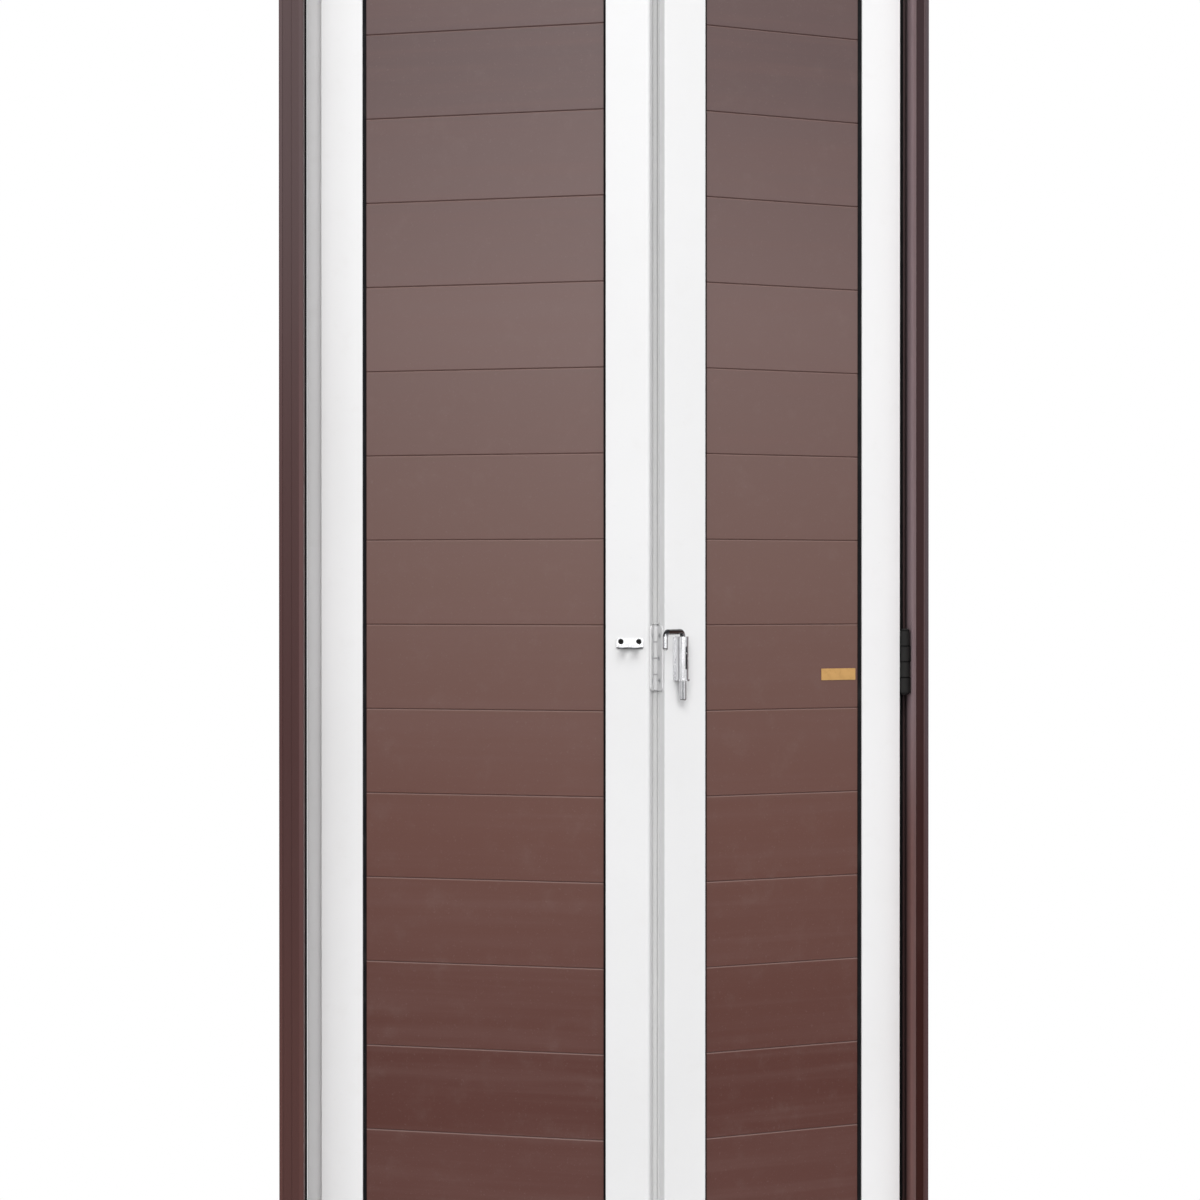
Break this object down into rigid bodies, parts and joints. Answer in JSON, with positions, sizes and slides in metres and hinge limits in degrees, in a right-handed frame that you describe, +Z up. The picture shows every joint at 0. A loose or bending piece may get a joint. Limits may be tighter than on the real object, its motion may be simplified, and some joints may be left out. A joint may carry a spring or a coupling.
{
  "type": "bifold door",
  "caption": "Half-open two-leaf folding door with white stiles, brown plank panels, brown frame, guide track above, butt hinges and a swinging hook latch.",
  "frame": {"origin": "on the floor at mid width, in the plane of the jamb hinge axis and of the track centre line", "axes": "+Z up; +X along the wall from strike jamb to hinge jamb; +Y through the wall, away from the side with the latch"},
  "size_m": [0.762, 0.1849, 2.134],
  "materials": {
    "brown_planks": "satin brown",
    "brown_frame": "satin dark brown anodised look",
    "white_aluminium": "satin white powder coat",
    "black_rubber": "matt",
    "light_rubber": "matt",
    "black_steel": "semi-gloss black",
    "white_steel": "semi-gloss white",
    "chrome": "polished",
    "dark_nylon": "matt",
    "light_nylon": "matt",
    "gold_plate": "brushed",
    "cast_zinc": "as cast",
    "plain_aluminium": "mill finish",
    "zinc_steel": "zinc plated"
  },
  "bodies": {
    "hinge_leaf": {"blank_plate": "gold_plate", "fold_hinge_lower_hinge_leaf_plate": "white_steel", "fold_hinge_middle_hinge_leaf_plate": "white_steel", "fold_hinge_pins": "white_steel", "fold_hinge_upper_hinge_leaf_plate": "white_steel", "fold_seal": "light_rubber", "hinge_leaf_bottom_rail": "white_aluminium", "hinge_leaf_corner_cleats": "cast_zinc", "hinge_leaf_corner_screws": "zinc_steel", "hinge_leaf_fold_stile": "white_aluminium", "hinge_leaf_gaskets": "black_rubber", "hinge_leaf_hinge_screws": "zinc_steel", "hinge_leaf_hinge_stile": "white_aluminium", "hinge_leaf_planks": "brown_planks", "hinge_leaf_top_rail": "white_aluminium", "jamb_hinge_lower_leaf_plate": "black_steel", "jamb_hinge_middle_leaf_plate": "black_steel", "jamb_hinge_upper_leaf_plate": "black_steel", "latch_housing": "chrome"},
    "lead_leaf": {"fold_hinge_lower_lead_leaf_plate": "white_steel", "fold_hinge_middle_lead_leaf_plate": "white_steel", "fold_hinge_upper_lead_leaf_plate": "white_steel", "guide_bracket": "zinc_steel", "guide_bracket_screws": "zinc_steel", "guide_pin": "zinc_steel", "keeper": "chrome", "keeper_screws": "black_steel", "lead_leaf_bottom_rail": "white_aluminium", "lead_leaf_corner_cleats": "cast_zinc", "lead_leaf_corner_screws": "zinc_steel", "lead_leaf_fold_stile": "white_aluminium", "lead_leaf_gaskets": "black_rubber", "lead_leaf_hinge_screws": "zinc_steel", "lead_leaf_planks": "brown_planks", "lead_leaf_strike_stile": "white_aluminium", "lead_leaf_tongue": "white_aluminium", "lead_leaf_top_rail": "white_aluminium"},
    "frame": {"frame_head": "brown_frame", "frame_screws": "zinc_steel", "guide_track": "plain_aluminium", "head_end_caps": "brown_frame", "hinge_jamb": "brown_frame", "hinge_jamb_seal": "black_rubber", "hinge_jamb_stop": "brown_frame", "hinge_side_corner_cleat": "cast_zinc", "jamb_hinge_lower_frame_plate": "black_steel", "jamb_hinge_middle_frame_plate": "black_steel", "jamb_hinge_pins": "black_steel", "jamb_hinge_screws": "black_steel", "jamb_hinge_upper_frame_plate": "black_steel", "strike_jamb": "brown_frame", "strike_jamb_seal": "black_rubber", "strike_jamb_web": "brown_frame", "strike_side_corner_cleat": "cast_zinc", "track_screws": "zinc_steel", "track_stop": "light_nylon"},
    "guide_roller": {"guide_roller": "light_nylon"},
    "latch_rod": {"latch_rod": "chrome"},
    "latch_sleeve": {"latch_sleeve": "dark_nylon"}
  },
  "joints": [
    {"name": "jamb_hinge", "type": "hinge", "parent": "frame", "child": "hinge_leaf", "pos_m": [0.3592, 0, 1], "axis": [0, 0, 1], "range_deg": [-16.5, 61.5]},
    {"name": "fold_hinge", "type": "hinge", "parent": "hinge_leaf", "child": "lead_leaf", "pos_m": [0.05151, -0.06611, 1.007], "axis": [0, 0, 1], "range_deg": [-123, 33]},
    {"name": "guide_roller_spin", "type": "hinge", "parent": "lead_leaf", "child": "guide_roller", "pos_m": [-0.25619, 0, 2.092], "axis": [0, 0, 1], "continuous": true},
    {"name": "latch_lift", "type": "slide", "parent": "hinge_leaf", "child": "latch_sleeve", "axis": [0, 0, 1], "range_m": [0, 0.018]},
    {"name": "latch_turn", "type": "hinge", "parent": "latch_sleeve", "child": "latch_rod", "pos_m": [0.08087, -0.09131, 1], "axis": [0, 0, 1], "range_deg": [-41, 139]}
  ],
  "couplings": [
    {"joint": "fold_hinge", "follows": "jamb_hinge", "ratio": -2}
  ]
}
